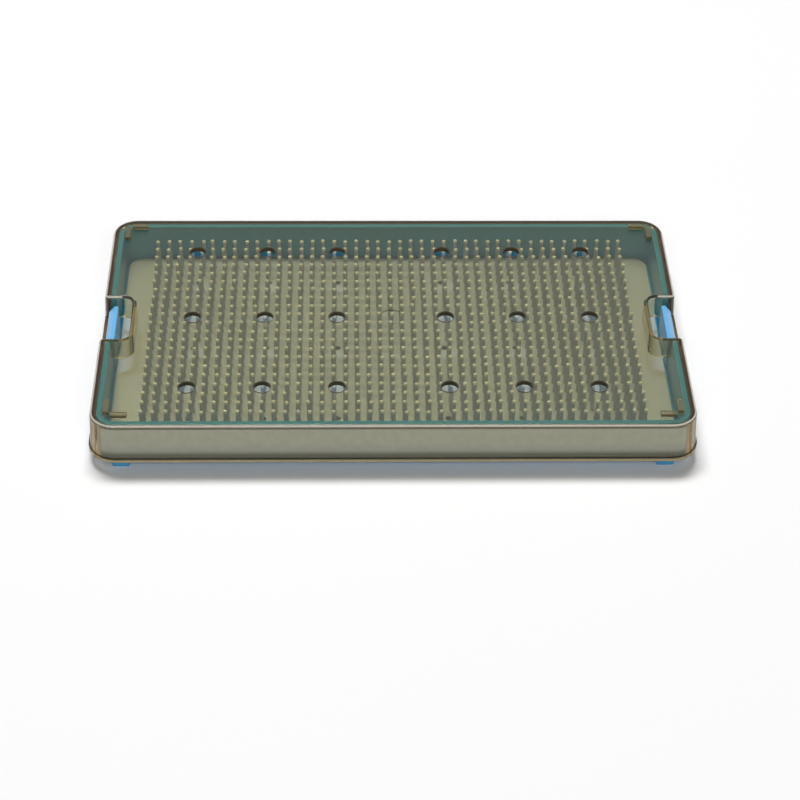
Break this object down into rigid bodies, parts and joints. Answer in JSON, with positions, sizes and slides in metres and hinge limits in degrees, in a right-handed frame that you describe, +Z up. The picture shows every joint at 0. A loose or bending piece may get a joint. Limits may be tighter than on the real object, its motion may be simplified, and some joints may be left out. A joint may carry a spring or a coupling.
{
  "type": "sterilization box",
  "caption": "Shallow vented tray with a transparent lid that clips down, a latch tab in each end wall and a soft mat of upright fingers that holds small instruments.",
  "frame": {"origin": "middle of the surface that the feet rest on", "axes": "+X along the box to its right end, +Y to its back, +Z up through the lid"},
  "size_m": [0.254, 0.154, 0.0253],
  "materials": {
    "lid": "gloss, transparent amber",
    "tray": "semi-gloss, blue",
    "latch": "semi-gloss, light blue",
    "mat": "matt, pale lavender grey silicone"
  },
  "bodies": {
    "tray": {"base_tray": "tray", "mat_sheet": "mat", "mat_fingers": "mat"},
    "lid": {"lid": "lid", "lid_strap_left": "lid", "lid_strap_right": "lid"},
    "latch_left": {"latch_left": "latch"},
    "latch_right": {"latch_right": "latch"}
  },
  "joints": [
    {"name": "lid_lift", "type": "slide", "parent": "tray", "child": "lid", "axis": [0, 0, 1], "range_m": [0, 0.05]},
    {"name": "latch_left_press", "type": "hinge", "parent": "tray", "child": "latch_left", "pos_m": [-0.12141, 0, 0.0046], "axis": [0, -1, 0], "range_deg": [-4, 6], "stiffness_Nm_per_rad": 0.02, "springref_deg": 5.73},
    {"name": "latch_right_press", "type": "hinge", "parent": "tray", "child": "latch_right", "pos_m": [0.12141, 0, 0.0046], "axis": [0, 1, 0], "range_deg": [-4, 6], "stiffness_Nm_per_rad": 0.02, "springref_deg": 5.73}
  ]
}
